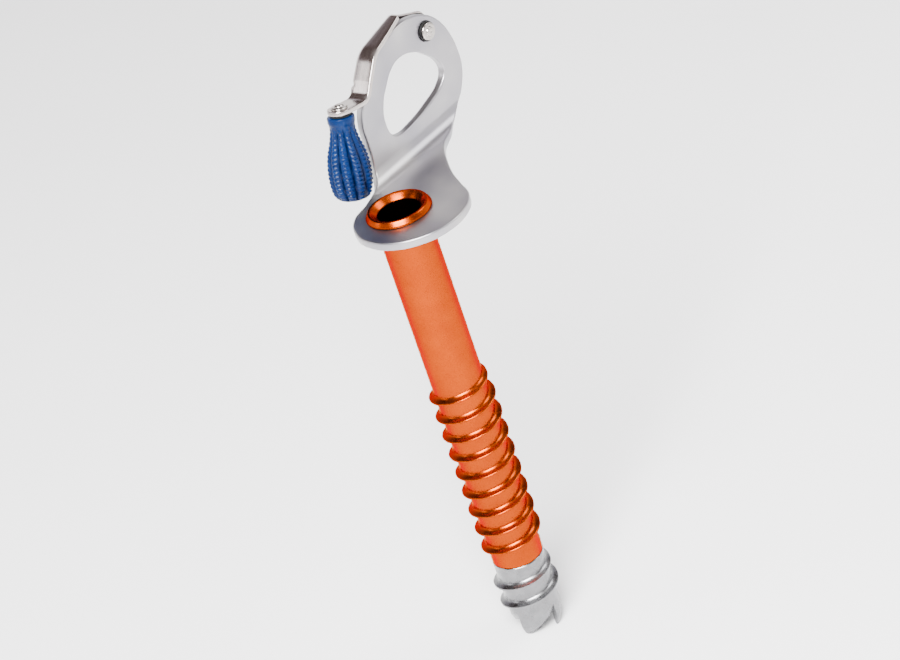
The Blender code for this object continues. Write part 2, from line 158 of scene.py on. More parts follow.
def softened(points, radius, closed=True, steps=4):
    """The same line of points with its corners rounded."""
    points = [Vector(point) for point in points]
    rounded = []
    for i, point in enumerate(points):
        if not closed and i in (0, len(points) - 1):
            rounded.append(point)
            continue
        before = points[i - 1] - point
        after = points[(i + 1) % len(points)] - point
        cut = min(radius, 0.45 * before.length, 0.45 * after.length)
        start = point + before.normalized() * cut
        end = point + after.normalized() * cut
        for k in range(steps + 1):
            t = k / steps
            rounded.append(start.lerp(point, t).lerp(point.lerp(end, t), t))
    return rounded


def curve_through(points, spans=8):
    """Points on a smooth open curve that passes through the given ones."""
    points = [Vector(point) for point in points]
    padded = [2 * points[0] - points[1]] + points + [2 * points[-1] - points[-2]]
    curve = []
    for a, b, c, d in zip(padded, padded[1:], padded[2:], padded[3:]):
        for k in range(spans):
            t = k / spans
            curve.append(0.5 * (2 * b + (c - a) * t + (2 * a - 5 * b + 4 * c - d) * t * t
                                + (3 * b - a - 3 * c + d) * t ** 3))
    curve.append(points[-1])
    return curve


def lathe(profile, steps):
    """A profile of (radius, height) pairs turned about the local Z axis, as verts and faces."""
    rings = []
    for step in range(steps):
        angle = 2.0 * math.pi * step / steps
        rings.append([(r * math.cos(angle), r * math.sin(angle), z) for r, z in profile])
    return loft(rings, around=True)


def piece(name, mesh, body, material, nodes, matrix=None):
    """Put a mesh in the scene as one piece that rides on a body and stands for CAD nodes."""
    obj = bpy.data.objects.new(name, mesh)
    bpy.context.scene.collection.objects.link(obj)
    mesh.materials.append(material)
    if matrix:
        obj.matrix_world = matrix
    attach(obj, body)
    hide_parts(*nodes)


def smoothstep(low, high, value):
    t = min(1.0, max(0.0, (value - low) / (high - low)))
    return t * t * (3.0 - 2.0 * t)


# ---------------------------------------------------------------- materials

def add_node(tree, kind, inputs=None, **settings):
    node = tree.nodes.new(kind)
    for key, value in settings.items():
        setattr(node, key, value)
    for key, value in (inputs or {}).items():
        socket = node.inputs[key]
        if isinstance(value, bpy.types.NodeSocket):
            tree.links.new(value, socket)
        else:
            socket.default_value = value
    return node


def new_material(name, **sockets):
    """A Principled material with constant sockets, given with _ for a space."""
    material = bpy.data.materials.new(name)
    material.use_nodes = True
    tree = material.node_tree
    shader = tree.nodes["Principled BSDF"]
    for key, value in sockets.items():
        shader.inputs[key.replace("_", " ")].default_value = value
    coordinates = tree.nodes.new("ShaderNodeTexCoord").outputs["Object"]
    return material, tree, shader, coordinates


def noise(tree, coordinates, scale, detail=4.0, roughness=0.6, stretch=None):
    """Noise, whose scale is in repeats a metre; stretch scales the axes differently."""
    if stretch:
        mapping = add_node(tree, "ShaderNodeMapping", {"Vector": coordinates, "Scale": stretch})
        coordinates = mapping.outputs["Vector"]
    node = add_node(tree, "ShaderNodeTexNoise", {"Vector": coordinates, "Scale": scale,
                                                 "Detail": detail, "Roughness": roughness})
    return node.outputs["Fac"]


def ranged(tree, value, low, high, from_low=0.3, from_high=0.7):
    node = add_node(tree, "ShaderNodeMapRange", {"Value": value, "From Min": from_low,
                                                 "From Max": from_high, "To Min": low,
                                                 "To Max": high})
    return node.outputs["Result"]


def ramp(tree, value, stops):
    node = add_node(tree, "ShaderNodeValToRGB", {"Fac": value})
    elements = node.color_ramp.elements
    while len(elements) < len(stops):
        elements.new(0.5)
    for element, (position, colour) in zip(elements, stops):
        element.position = position
        element.color = (*colour, 1.0)
    return node.outputs["Color"]


def bump(tree, shader, height, strength, distance_mm, below=None):
    inputs = {"Height": height, "Strength": strength, "Distance": distance_mm * MM}
    if below:
        inputs["Normal"] = below
    node = add_node(tree, "ShaderNodeBump", inputs)
    tree.links.new(node.outputs["Normal"], shader.inputs["Normal"])
    return node.outputs["Normal"]


def maths(tree, first, second, operation="ADD"):
    node = add_node(tree, "ShaderNodeMath", {0: first, 1: second}, operation=operation)
    return node.outputs["Value"]


def mixed(tree, share, first, second):
    """One colour turning into another; the node's colours are inputs 6 and 7 and output 2."""
    node = add_node(tree, "ShaderNodeMix", {"Factor": share, 6: first, 7: second}, data_type="RGBA")
    return node.outputs[2]


def aluminium_material():
    """Tumbled, satin aluminium with a faint lilac cast and a few fine handling scratches; its broad
    lighter and darker patches are painted reflections.
    """
    material, tree, shader, place = new_material("hanger_satin", Metallic=1.0)
    cloud = noise(tree, place, 42.0, 2.0, 0.45)
    # The cloud's broad lighter and darker patches in the base colour are painted blurred reflections.
    colour = ramp(tree, cloud, [(0.32, (0.25, 0.243, 0.27)), (0.52, (0.34, 0.328, 0.34)),
                                (0.68, (0.45, 0.435, 0.425))])
    tree.links.new(colour, shader.inputs["Base Color"])
    grain = noise(tree, place, 5200.0, 2.0)
    scratches = noise(tree, place, 700.0, 6.0, 0.75, stretch=(0.12, 1.0, 3.2))
    uneven = maths(tree, ranged(tree, scratches, -0.02, 0.04), ranged(tree, cloud, 0.30, 0.38))
    tree.links.new(uneven, shader.inputs["Roughness"])
    grained = bump(tree, shader, grain, 0.22, 0.012)
    bump(tree, shader, scratches, 0.05, 0.01, grained)
    return material


def stainless_material():
    """Polished stainless sheet, slightly warm, with soft drawing marks along its length."""
    material, tree, shader, place = new_material("crank_stainless", Metallic=1.0)
    cloud = noise(tree, place, 140.0, 3.0)
    colour = ramp(tree, cloud, [(0.30, (0.38, 0.335, 0.315)), (0.70, (0.47, 0.43, 0.41))])
    tree.links.new(colour, shader.inputs["Base Color"])
    marks = noise(tree, place, 900.0, 5.0, 0.7, stretch=(0.25, 2.2, 0.25))
    tree.links.new(ranged(tree, marks, 0.17, 0.27), shader.inputs["Roughness"])
    grain = noise(tree, place, 4200.0, 2.0)
    marked = bump(tree, shader, marks, 0.12, 0.02)
    bump(tree, shader, grain, 0.12, 0.01, marked)
    return material


def turned_steel_material(name, low, high, roughness):
    """Steel with lathe rings round its own axis."""
    material, tree, shader, place = new_material(name, Metallic=1.0)
    rings = add_node(tree, "ShaderNodeTexWave", {"Vector": place, "Scale": 900.0,
                                                 "Distortion": 1.5, "Detail": 2.0,
                                                 "Detail Scale": 2.0},
                     wave_type="RINGS", rings_direction="Z").outputs["Fac"]
    cloud = noise(tree, place, 300.0, 3.0)
    tree.links.new(ramp(tree, cloud, [(0.3, low), (0.7, high)]), shader.inputs["Base Color"])
    uneven = maths(tree, ranged(tree, cloud, roughness - 0.05, roughness + 0.05),
                   ranged(tree, rings, -0.03, 0.03, 0.0, 1.0))
    tree.links.new(uneven, shader.inputs["Roughness"])
    bump(tree, shader, rings, 0.06, 0.010)
    return material


def anodised_material():
    """Orange anodised aluminium, a little scuffed, with faint turning grooves, and painted shade that
    makes the bore dark.
    """
    material, tree, shader, place = new_material("orange_anodised", Metallic=1.0,
                                                 Specular_Tint=(0.80, 0.32, 0.07, 1.0))
    cloud = noise(tree, place, 120.0, 4.0)
    colour = ramp(tree, cloud, [(0.30, (0.27, 0.032, 0.0002)), (0.70, (0.32, 0.042, 0.0003))])
    flat = add_node(tree, "ShaderNodeMapping", {"Vector": place, "Scale": (1.0, 1.0, 0.0)})
    radius = add_node(tree, "ShaderNodeVectorMath", {0: flat.outputs["Vector"]},
                      operation="LENGTH").outputs["Value"]
    # Painted shade: inside the bore's radius the base colour turns near black.
    bore_painted_shade = ranged(tree, radius, 1.0, 0.0, BORE_R * MM, (BORE_R + 0.3) * MM)
    shaded = mixed(tree, bore_painted_shade, colour, (0.020, 0.004, 0.002, 1.0))
    tree.links.new(shaded, shader.inputs["Base Color"])
    grooves = add_node(tree, "ShaderNodeTexWave", {"Vector": place, "Scale": 520.0,
                                                   "Distortion": 0.6, "Detail": 2.0},
                       wave_type="BANDS", bands_direction="Z").outputs["Fac"]
    scuffs = noise(tree, place, 600.0, 5.0, 0.7)
    uneven = maths(tree, ranged(tree, scuffs, 0.20, 0.32), ranged(tree, grooves, -0.01, 0.01, 0, 1))
    tree.links.new(uneven, shader.inputs["Roughness"])
    bump(tree, shader, scuffs, 0.04, 0.02)
    return material


def blue_material():
    """Moulded blue plastic with the mould's fine texture, and painted shade that darkens the valleys
    between the ribs.
    """
    material, tree, shader, place = new_material("blue_plastic", Specular_IOR_Level=0.12)
    cloud = noise(tree, place, 260.0, 3.0)
    colour = ramp(tree, cloud, [(0.30, (0.0001, 0.0060, 0.036)), (0.70, (0.0002, 0.0125, 0.064))])
    spot = add_node(tree, "ShaderNodeSeparateXYZ", {0: place}).outputs
    angle = maths(tree, spot["Y"], spot["X"], "ARCTAN2")
    above_widest = maths(tree, spot["Z"], KNOB_WIDEST_Z * MM, "SUBTRACT")
    twist = maths(tree, above_widest, RIB_TWIST / (KNOB_LENGTH * MM), "MULTIPLY")
    wave = maths(tree, maths(tree, angle, twist), RIB_COUNT / 2.0, "MULTIPLY")
    rib = maths(tree, maths(tree, wave, 0.0, "COSINE"), 0.0, "ABSOLUTE")
    # Painted shade: below the neck, the base colour turns dark blue in the valleys between the ribs.
    valley_painted_shade = ranged(tree, rib, 1.0, 0.0, 0.05, 0.65)
    below_neck = ranged(tree, spot["Z"], 0.0, 0.85, -0.005, -0.012)
    deep = maths(tree, valley_painted_shade, below_neck, "MULTIPLY")
    shaded = mixed(tree, deep, colour, (0.0001, 0.0010, 0.009, 1.0))
    tree.links.new(shaded, shader.inputs["Base Color"])
    texture = noise(tree, place, 3200.0, 3.0)
    tree.links.new(ranged(tree, texture, 0.22, 0.36), shader.inputs["Roughness"])
    bump(tree, shader, texture, 0.20, 0.03)
    return material


def black_material():
    material, tree, shader, place = new_material("black_polymer", Specular_IOR_Level=0.15)
    cloud = noise(tree, place, 900.0, 3.0)
    colour = ramp(tree, cloud, [(0.30, (0.004, 0.004, 0.0045)), (0.70, (0.010, 0.0095, 0.0095))])
    tree.links.new(colour, shader.inputs["Base Color"])
    tree.links.new(ranged(tree, cloud, 0.42, 0.58), shader.inputs["Roughness"])
    bump(tree, shader, noise(tree, place, 3500.0), 0.3, 0.02)
    return material


def floor_material():
    material, tree, shader, place = new_material("floor_paper", Roughness=0.9,
                                                 Specular_IOR_Level=0.15)
    cloud = noise(tree, place, 8.0, 2.0)
    colour = ramp(tree, cloud, [(0.3, (0.91, 0.91, 0.912)), (0.7, (0.93, 0.93, 0.93))])
    tree.links.new(colour, shader.inputs["Base Color"])
    return material


# ---------------------------------------------------------------- hanger

def base(x, y):
    """A point of the horizontal plate in the flat blank."""
    return (x, y - (EYE_FRONT_Y - FOLD_R))


def eye(x, z):
    """A point of the upright plate in the flat blank."""
    return (x, z - (PLATE_T + FOLD_R) + FOLD_LENGTH)


def circle(centre, radius, count, start=0.0, sweep=360.0):
    spans = count if abs(sweep) == 360.0 else count - 1
    angles = [math.radians(start + sweep * i / spans) for i in range(count)]
    return [(centre[0] + radius * math.cos(a), centre[1] + radius * math.sin(a)) for a in angles]


def hanger_outline():
    lobe = [base(x, y) for x, y in circle((1.8, -3.7), 20.0, 10, -20.0, -250.0)]
    left_edge = [eye(12.2, 4.4), eye(14.0, 10.0), eye(14.5, 16.5), eye(15.1, 24.5),
                 eye(17.2, 29.6), eye(21.0, 33.4), eye(26.4, 39.3), eye(31.5, 43.0)]
    crown = [eye(38.0, 45.1), eye(45.0, 46.1), eye(51.3, 45.4), eye(57.2, 42.9),
             eye(61.3, 39.4), eye(64.2, 35.2), eye(66.2, 30.0), eye(67.2, 24.0)]
    right_edge = [eye(66.9, 17.5), eye(64.2, 11.4), eye(60.4, 7.2), base(50.0, 17.0),
                  base(41.6, 13.3), base(36.4, 9.2), base(32.0, 4.6), base(25.4, -3.2)]
    return lobe + left_edge + crown + right_edge


def eye_hole_outline():
    return [eye(25.2, 18.5), eye(26.7, 25.3), eye(31.2, 31.0), eye(35.6, 34.6), eye(40.4, 35.8),
            eye(47.0, 34.1), eye(53.0, 29.6), eye(57.0, 24.6), eye(57.8, 20.6), eye(55.2, 17.2),
            eye(47.5, 14.3), eye(37.0, 12.3), eye(29.8, 12.3), eye(26.4, 14.3)]


def smooth_loop(points, resolution, clockwise=False):
    """The closed smooth curve through the points, as a counterclockwise or clockwise loop."""
    curve = bpy.data.curves.new("loop", "CURVE")
    curve.dimensions = "2D"
    curve.fill_mode = "NONE"
    curve.resolution_u = resolution
    spline = curve.splines.new("BEZIER")
    spline.bezier_points.add(len(points) - 1)
    for bezier_point, (x, y) in zip(spline.bezier_points, points):
        bezier_point.co = (x, y, 0.0)
        bezier_point.handle_left_type = "AUTO"
        bezier_point.handle_right_type = "AUTO"
    spline.use_cyclic_u = True
    holder = bpy.data.objects.new("loop", curve)
    bpy.context.scene.collection.objects.link(holder)
    depsgraph = bpy.context.evaluated_depsgraph_get()
    mesh = bpy.data.meshes.new_from_object(holder.evaluated_get(depsgraph))
    loop = [Vector((v.co.x, v.co.y)) for v in mesh.vertices]
    bpy.data.objects.remove(holder, do_unlink=True)
    bpy.data.meshes.remove(mesh)
    area = sum(a.x * b.y - a.y * b.x for a, b in zip(loop, loop[1:] + loop[:1]))
    return loop if (area < 0.0) == clockwise else loop[::-1]


def left_normals(loop):
    """Each point's normal, to the left of the closed loop's direction."""
    normals = []
    for i, point in enumerate(loop):
        along = (loop[(i + 1) % len(loop)] - loop[i - 1]).normalized()
        normals.append(Vector((-along.y, along.x)))
    return normals


def plate_rim(thickness, radius, steps=4):
    """(inset, height) pairs of a plate's rounded edge, from the upper face to the lower."""
    half = thickness / 2.0
    quarter = [math.pi / 2 * k / steps for k in range(steps + 1)]
    upper = [(radius - radius * math.sin(a), half - radius + radius * math.cos(a)) for a in quarter]
    upper = [(radius + 0.1, half)] + upper
    return upper + [(inset, -height) for inset, height in upper[::-1]]


def rounded_plate(loops, thickness, radius):
    """A flat plate with rounded edges, as a bmesh in millimetres."""
    bm = bmesh.new()
    rim = plate_rim(thickness, radius)
    cap_edges = []
    for loop in loops:
        normals = left_normals(loop)
        rows = [[bm.verts.new((*(point + normal * inset), height))
                 for point, normal in zip(loop, normals)] for inset, height in rim]
        for upper, lower in zip(rows, rows[1:]):
            for i in range(len(loop)):
                j = (i + 1) % len(loop)
                bm.faces.new((upper[i], upper[j], lower[j], lower[i]))
        for row in (rows[0], rows[-1]):
            cap_edges.append([bm.edges.get((row[i - 1], row[i])) for i in range(len(row))])
    for side in (0, 1):
        edges = [edge for ring in cap_edges[side::2] for edge in ring]
        bmesh.ops.triangle_fill(bm, edges=edges, use_beauty=True, use_dissolve=False)
    return bm


def folded(point):
    """Where a point of the flat blank goes when the plate is folded."""
    x, s, h = point
    height = h + PLATE_T / 2
    centre_y = EYE_FRONT_Y - FOLD_R
    centre_z = PLATE_T + FOLD_R
    if s <= 0.0:
        return Vector((x, centre_y + s, height))
    if s >= FOLD_LENGTH:
        return Vector((x, EYE_BACK_Y - height, centre_z + s - FOLD_LENGTH))
    angle = s / FOLD_LENGTH * math.pi / 2
    radius = FOLD_R + PLATE_T - height
    return Vector((x, centre_y + radius * math.sin(angle), centre_z - radius * math.cos(angle)))


def make_hanger(material):
    neck = [base(x, y) for x, y in circle((0.0, 0.0), 9.5, 8)]
    pivot_hole = circle(eye(*PIVOT), HOLE_R, 6)
    loops = [smooth_loop(hanger_outline(), 9)]
    loops += [smooth_loop(points, 8, clockwise=True)
              for points in (eye_hole_outline(), neck, pivot_hole)]
    bm = rounded_plate(loops, PLATE_T, PLATE_EDGE_R)
    for step in range(FOLD_STEPS + 1):
        line = Vector((0.0, FOLD_LENGTH * step / FOLD_STEPS, 0.0))
        everything = bm.verts[:] + bm.edges[:] + bm.faces[:]
        bmesh.ops.bisect_plane(bm, geom=everything, dist=0.0005, plane_co=line,
                               plane_no=(0.0, 1.0, 0.0))
    for vert in bm.verts:
        vert.co = folded(vert.co) * MM
    clean(bm)
    mesh = bpy.data.meshes.new("hanger_plate")
    bm.to_mesh(mesh)
    bm.free()
    smooth(mesh, 60.0)
    piece("hanger_plate", mesh, "screw", material, ["hanger"])


# ---------------------------------------------------------------- screw

def thread_ridge(top_z, bottom_z):
    """A right-hand helical ridge with rounded crest and flared root, as verts and faces."""
    root_r = TUBE_R - 0.15
    half = [(root_r, 1.75), (TUBE_R + 0.04, 1.45), (TUBE_R + 0.3, 1.1),
            (TUBE_R + 1.0, 0.74), (CREST_R - 0.35, 0.42), (CREST_R - 0.08, 0.3), (CREST_R, 0.15)]
    profile = half + [(r, -z) for r, z in half[::-1]]
    fade_length = 0.6 * PITCH
    step_z = PITCH / THREAD_STEPS
    rings = []
    for i in range(int((top_z - bottom_z) / step_z) + 1):
        z = top_z - i * step_z
        angle = 2.0 * math.pi * z / PITCH
        fade = max(0.02, min(smoothstep(0.0, fade_length, top_z - z),
                             smoothstep(0.0, fade_length, z - bottom_z)))
        ring = []
        for r, dz in profile:
            r = root_r + (r - root_r) * fade
            ring.append((r * math.cos(angle), r * math.sin(angle), z + dz))
        rings.append(ring)
    verts, faces = loft(rings)
    last = len(verts) - len(profile)
    faces.append(tuple(range(len(profile))))
    faces.append(tuple(range(last, len(verts)))[::-1])
    return verts, faces


def joined(shells):
    """Several (verts, faces) shells as one."""
    verts, faces = [], []
    for shell_verts, shell_faces in shells:
        faces += [tuple(i + len(verts) for i in face) for face in shell_faces]
        verts += shell_verts
    return verts, faces


def make_screw_tube(material):
    mouth = [(BORE_R, HEAD_TOP_Z - 1.9), (BORE_R + 1.8, HEAD_TOP_Z - 0.25),
             (BORE_R + 2.15, HEAD_TOP_Z)]
    rim = [(10.3, HEAD_TOP_Z), (10.5, HEAD_TOP_Z - 0.2), (HEAD_R, 3.75), (HEAD_R, HEAD_UNDER_Z)]
    neck = [(TUBE_R, HEAD_UNDER_Z), (TUBE_R, COLLAR_TOP_Z), (COLLAR_R, COLLAR_TOP_Z),
            (COLLAR_R, -1.5), (TUBE_R, -3.5)]
    barrel = [(TUBE_R, -20.0), (TUBE_R, -60.0), (TUBE_R, JOINT_Z + 0.3), (SOCKET_R, JOINT_Z + 0.3),
              (SOCKET_R, SOCKET_TOP_Z), (BORE_R, SOCKET_TOP_Z)]
    profile = softened(mouth + rim + neck + barrel, 0.22)
    shells = [lathe(profile, 128), thread_ridge(-62.0, JOINT_Z + 2.0)]
    mesh = finish_mesh("orange_tube", *joined(shells), 50.0)
    piece("orange_tube", mesh, "screw", material, ["screw_tube"])


def tooth_edge_z(turn):
    """Height of the bit's lower edge at a share of one tooth's turn, from its cutting face."""
    return TIP_Z + TOOTH_H * smoothstep(-0.25, 1.12, turn) ** 1.15 - TOOTH_H * 0.075


def make_drill_bit(material):
    """The bit, whose edge rises behind each tip and is ground thin from outside."""
    per_tooth = 30
    ground = 3.2
    rings = []
    for column in range(TOOTH_COUNT * (per_tooth + 1)):
        tooth, k = divmod(column, per_tooth + 1)
        turn = min(0.9995, k / per_tooth)
        angle = 2.0 * math.pi * (tooth + turn) / TOOTH_COUNT
        edge = max(TIP_Z, tooth_edge_z(turn))
        outer = [(SPIGOT_R, SPIGOT_TOP_Z), (SPIGOT_R, JOINT_Z), (TUBE_R - 0.15, JOINT_Z),
                 (TUBE_R, JOINT_Z - 0.15)]
        outer += [(TUBE_R, JOINT_Z + (edge + ground - JOINT_Z) * i / 6) for i in range(1, 6)]
        outer += [(TUBE_R, edge + ground), (TUBE_R - 0.06, edge + 2.9), (TUBE_R - 1.05, edge + 0.12),
                  (TUBE_R - 1.25, edge)]
        inner = [(BIT_BORE_R + 0.25, edge + 0.1), (BIT_BORE_R, edge + 0.8), (BIT_BORE_R, JOINT_Z),
                 (BIT_BORE_R, SPIGOT_TOP_Z)]
        rings.append([(r * math.cos(angle), r * math.sin(angle), z) for r, z in outer + inner])
    shells = [loft(rings, around=True), thread_ridge(JOINT_Z - 2.0, TIP_Z + TOOTH_H + 2.0)]
    mesh = finish_mesh("toothed_bit", *joined(shells), 30.0)
    piece("toothed_bit", mesh, "screw", material, ["drill_bit"])


# ---------------------------------------------------------------- crank

def rounded_corners(corners, radii, steps):
    """Points of a bent line whose corners are arcs, with their normals to the left."""
    corners = [Vector(corner) for corner in corners]
    line = []
    for i, corner in enumerate(corners):
        before = (corner - corners[max(i - 1, 0)]).normalized()
        after = (corners[min(i + 1, len(corners) - 1)] - corner).normalized()
        if i in (0, len(corners) - 1):
            along = after if i == 0 else before
            line.append((corner, Vector((-along.y, along.x))))
            continue
        turn = math.atan2(before.x * after.y - before.y * after.x, before.dot(after))
        side = math.copysign(1.0, turn)
        radius = radii[i - 1]
        normal = Vector((-before.y, before.x))
        start = corner - before * radius * math.tan(abs(turn) / 2.0)
        centre = start + normal * radius * side
        for step in range(steps + 1):
            rotated = normal.copy()
            rotated.rotate(Matrix.Rotation(turn * step / steps, 2))
            line.append((centre - rotated * radius * side, rotated))
    return line


class SidePath:
    """The crank's outer line in XZ, by its length from the flange's free end."""

    def __init__(self):
        beyond = 12.0
        end = (AXLE[0] - beyond * math.cos(KNOB_TILT), AXLE[2] + beyond * math.sin(KNOB_TILT))
        corners = [(45.9, 48.885), (27.8, 45.35), (21.47, 38.16), (17.9, 33.5), end]
        self.line = rounded_corners(corners, [10.0, 8.0, 3.5], 12)
        self.lengths = [0.0]
        for (a, _), (b, _) in zip(self.line, self.line[1:]):
            self.lengths.append(self.lengths[-1] + (b - a).length)

    def at(self, s):
        """The point and inward normal at a length; straight on before the start."""
        i = 1
        while i < len(self.line) - 1 and self.lengths[i] < s:
            i += 1
        span = self.lengths[i] - self.lengths[i - 1]
        t = (s - self.lengths[i - 1]) / max(span, 1e-9)
        (a, a_normal), (b, b_normal) = self.line[i - 1], self.line[i]
        point = a.lerp(b, t) if t >= 0.0 else a + (b - a) * t
        normal = a_normal.lerp(b_normal, min(1.0, max(0.0, t))).normalized()
        return point, normal

    def length_at_x(self, x):
        """The length at which the line passes an x, which falls all the way along it."""
        for i in range(1, len(self.line)):
            a, b = self.line[i - 1][0].x, self.line[i][0].x
            if b <= x:
                t = (a - x) / max(a - b, 1e-9)
                return self.lengths[i - 1] + t * (self.lengths[i] - self.lengths[i - 1])
        return self.lengths[-1]

    def stations(self, start, end, spacing):
        """Lengths at all the line's own points, with long straights divided."""
        own = [start] + [s for s in self.lengths if start + 0.02 < s < end - 0.02] + [end]
        lengths = []
        for a, b in zip(own, own[1:]):
            parts = max(1, round((b - a) / spacing))
            lengths += [a + (b - a) * k / parts for k in range(parts)]
        return lengths + [end]


def spread(first, last, count):
    """Evenly spaced values strictly between two, in order."""
    return [first + (last - first) * (k + 1) / (count + 1) for k in range(count)]


def edge_arc(radius):
    """(depth in, depth across) pairs of a sheet's rounded edge, in two quarters of 4 points."""
    quarter = [math.pi / 2 * k / 3 for k in range(4)]
    first = [(radius - radius * math.sin(a), radius - radius * math.cos(a)) for a in quarter]
    return first + [(depth, SHEET_T - across) for depth, across in first[::-1]]


def free_edge(reach):
    """A sheet's free edge as (depth in, depth across) pairs: face, rounded edge, other face."""
    edge = edge_arc(SHEET_EDGE_R)
    outside = [(depth, 0.0) for depth in spread(reach, SHEET_EDGE_R, 11)]
    inside = [(depth, SHEET_T) for depth in spread(SHEET_EDGE_R, reach, 8)]
    return [(reach, 0.0)] + outside + edge + inside + [(reach, SHEET_T)]


def flange_section(front_y, fold_y, angle):
    """(Y, depth) pairs from the fold's far side round the flange's front edge and back."""
    def on_arc(radius, a):
        return (fold_y + radius * math.sin(a), SHEET_FOLD_R - radius * math.cos(a))

    outside = [on_arc(SHEET_FOLD_R, angle * (8 - k) / 8) for k in range(9)]
    outside += [(y, 0.0) for y in spread(fold_y, front_y + SHEET_EDGE_R, 2)]
    edge = [(front_y + depth, across) for depth, across in edge_arc(SHEET_EDGE_R)]
    inside = [(y, SHEET_T) for y in spread(front_y + SHEET_EDGE_R, fold_y, 2)]
    inside += [on_arc(SHEET_FOLD_R - SHEET_T, angle * k / 5) for k in range(6)]
    run = (0.1 * math.cos(angle), 0.1 * math.sin(angle))
    first = (outside[0][0] + run[0], outside[0][1] + run[1])
    last = (inside[-1][0] + run[0], inside[-1][1] + run[1])
    return [first] + outside + edge + inside + [last]


def tail_section(fold_y, angle, length):
    """(Y, depth) pairs of the sheet's free edge beyond the fold."""
    root = (fold_y + SHEET_FOLD_R * math.sin(angle), SHEET_FOLD_R * (1.0 - math.cos(angle)))
    reach = min(1.0, 0.8 * length)
    section = []
    for depth, across in free_edge(reach):
        out = length - depth
        section.append((root[0] + out * math.cos(angle) - across * math.sin(angle),
                        root[1] + out * math.sin(angle) + across * math.cos(angle)))
    return section


def bare_web_section():
    """(Y, depth) pairs of the web's upper edge just beyond the flange's end."""
    start = math.asin((WEB_FRONT_Y - FOLD_Y) / SHEET_FOLD_R)
    section = [(WEB_BACK_Y, SHEET_FOLD_R + 0.1)]
    for k in range(11):
        a = math.pi / 2 + (start - math.pi / 2) * k / 10
        section.append((FOLD_Y + SHEET_FOLD_R * math.sin(a), SHEET_FOLD_R * (1 - math.cos(a))))
    depth = SHEET_FOLD_R * (1 - math.cos(start))
    section += [(WEB_FRONT_Y, d) for d in spread(depth, SHEET_FOLD_R, 16)]
    return section + [(WEB_FRONT_Y, SHEET_FOLD_R + 0.1)]


def front_y_at(x):
    """The flange's front edge: level by the knob, drawing back towards the pivot."""
    return AXLE[1] - END_R + 0.0040 * max(0.0, x - 16.0) ** 2


def web_rim_line(tail_end, tail_normal):
    """The web's free outline from the tail's end round the boss to the flange's end.

    The curve's first span only leads in along the tail, and is dropped.
    """
    lead_in = tail_end - 1.5 * Vector((-tail_normal.y, tail_normal.x))
    lower = [tail_end, (26.8, 36.3), (30.6, 36.9), (35.0, 37.1), (41.0, 37.0), (46.3, 35.2)]
    boss = circle(PIVOT, BOSS_R, 23, -128.0, 176.0)
    upper = [(55.4, 44.1), (51.2, 45.9), (48.6, 47.5)]
    spans = 6
    line = curve_through([lead_in] + lower + boss[:1], spans)[spans:]
    line += [Vector(point) for point in boss[1:]]
    line += curve_through([boss[-1]] + upper, 5)[1:]
    return line


def open_normals(line):
    """Inward normals, to the left, of an open line."""
    normals = []
    for i in range(len(line)):
        along = (line[min(i + 1, len(line) - 1)] - line[max(i - 1, 0)]).normalized()
        normals.append(Vector((-along.y, along.x)))
    return normals


class CrankSheet:
    """Rings of points placed on the crank's outer line, and the quads that bridge them."""

    def __init__(self):
        self.path = SidePath()
        self.crease = self.path.length_at_x(CREASE_X)
        self.verts = []
        self.faces = []

    def place(self, s, y, depth):
        point, normal = self.path.at(s)
        spot = point + normal * depth
        return (spot.x, y, spot.y)

    def ring(self, points):
        """Add points and give their numbers."""
        self.verts.extend(points)
        return list(range(len(self.verts) - len(points), len(self.verts)))

    def bridge(self, a, b, closed=False):
        for i in range(len(a) if closed else len(a) - 1):
            j = (i + 1) % len(a)
            self.faces.append((a[i], a[j], b[j], b[i]))


def crank_flange(sheet):
    """The flange and its fold, as rings from the flange's end to the crease."""
    rings = []
    for s in sheet.path.stations(0.0, sheet.crease, 0.8):
        section = flange_section(front_y_at(sheet.path.at(s)[0].x), FOLD_Y, math.pi / 2)
        rings.append(sheet.ring([sheet.place(s, y, depth) for y, depth in section]))
    for a, b in zip(rings, rings[1:]):
        sheet.bridge(a, b)
    return rings


def crank_web_edge(sheet, first_ring):
    """The web's free edge, as rings from the crease's tail round to the flange's first ring."""
    point, normal = sheet.path.at(sheet.crease)
    tail_end = point + normal * (SHEET_FOLD_R + TAIL_LENGTH)
    section = tail_section(FOLD_Y, math.pi / 2, TAIL_LENGTH)
    rings = [sheet.ring([sheet.place(sheet.crease, y, depth) for y, depth in section])]
    line = web_rim_line(tail_end, -normal)
    section = [(WEB_BACK_Y - across, depth) for depth, across in free_edge(1.0)]
    for spot, inward in list(zip(line, open_normals(line)))[1:]:
        rings.append(sheet.ring([(spot.x + inward.x * depth, y, spot.y + inward.y * depth)
                                 for y, depth in section]))
    rings.append(sheet.ring([sheet.place(-0.05, y, depth) for y, depth in bare_web_section()]))
    for a, b in zip(rings, rings[1:] + [first_ring]):
        sheet.bridge(a, b)
    return rings


def crank_pivot_hole(sheet):
    """The pivot hole's ring on the web's back, and the one on its front."""
    hole = circle(PIVOT, HOLE_R, 48)
    back = sheet.ring([(x, WEB_BACK_Y, z) for x, z in hole])
    front = sheet.ring([(x, WEB_FRONT_Y, z) for x, z in hole])
    sheet.bridge(back, front, closed=True)
    return back, front


